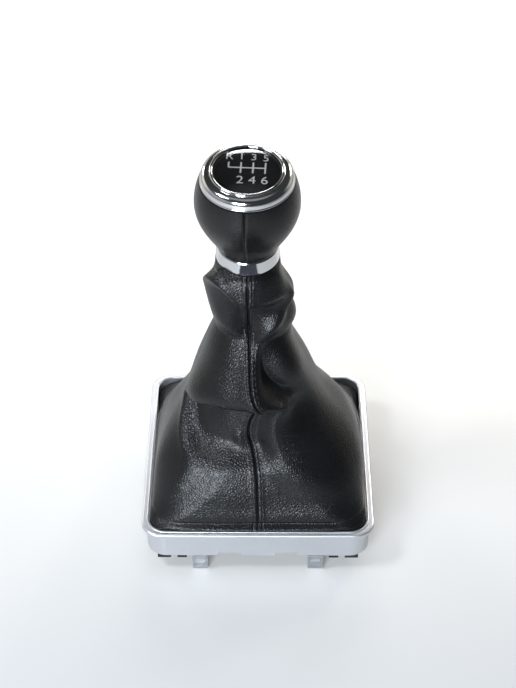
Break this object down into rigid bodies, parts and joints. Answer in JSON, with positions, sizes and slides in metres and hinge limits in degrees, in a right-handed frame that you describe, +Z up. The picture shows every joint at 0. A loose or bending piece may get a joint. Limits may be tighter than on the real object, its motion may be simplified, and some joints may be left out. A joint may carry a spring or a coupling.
{
  "type": "gear shift knob with gaiter",
  "caption": "Leather ball gear knob with a chrome collar, a folded leather gaiter and a clip-in rectangular trim frame.",
  "frame": {"origin": "below the middle of the trim frame, level with the feet of the spring clips", "axes": "+Z up out of the frame, -Y towards the driver, +X to the driver's right as the pattern is read"},
  "size_m": [0.124, 0.1264, 0.2277],
  "materials": {
    "core_plastic": "moulded black plastic",
    "sleeve_metal": "turned light alloy",
    "spring_steel": "bright zinc-plated spring steel",
    "black_plastic": "moulded black plastic",
    "chrome": "polished chrome plate",
    "knob_leather": "smooth fine-grained black leather",
    "plate_black": "gloss black with a white printed shift pattern",
    "clear_lens": "clear domed resin",
    "gaiter_leather": "soft grained black leather",
    "satin_silver": "satin silver plated plastic"
  },
  "bodies": {
    "base": {"trim_frame": "satin_silver", "retaining_frame": "black_plastic", "clip_near_left": "spring_steel", "clip_near_right": "spring_steel", "clip_far_left": "spring_steel", "clip_far_right": "spring_steel"},
    "gaiter": {"gaiter_left": "gaiter_leather", "gaiter_right": "gaiter_leather"},
    "knob": {"knob_core": "core_plastic", "lever_sleeve": "sleeve_metal", "clamp_ring": "spring_steel", "neck_ring": "black_plastic", "gaiter_tie": "black_plastic", "collar_ring": "chrome", "knob_leather_left": "knob_leather", "knob_leather_right": "knob_leather", "bezel_ring": "chrome", "cap_carrier": "black_plastic", "pattern_plate": "plate_black", "pattern_lens": "clear_lens"}
  },
  "joints": [
    {"name": "select", "type": "hinge", "parent": "base", "child": "gaiter", "pos_m": [-0.0052, 0.0215, -0.045], "axis": [0, 1, 0], "range_deg": [-7, 7], "deforming": ["gaiter_left", "gaiter_right"]},
    {"name": "shift", "type": "hinge", "parent": "gaiter", "child": "knob", "pos_m": [-0.0052, 0.0215, -0.045], "axis": [1, 0, 0], "range_deg": [-11, 11], "deforming": ["gaiter_left", "gaiter_right"]}
  ]
}
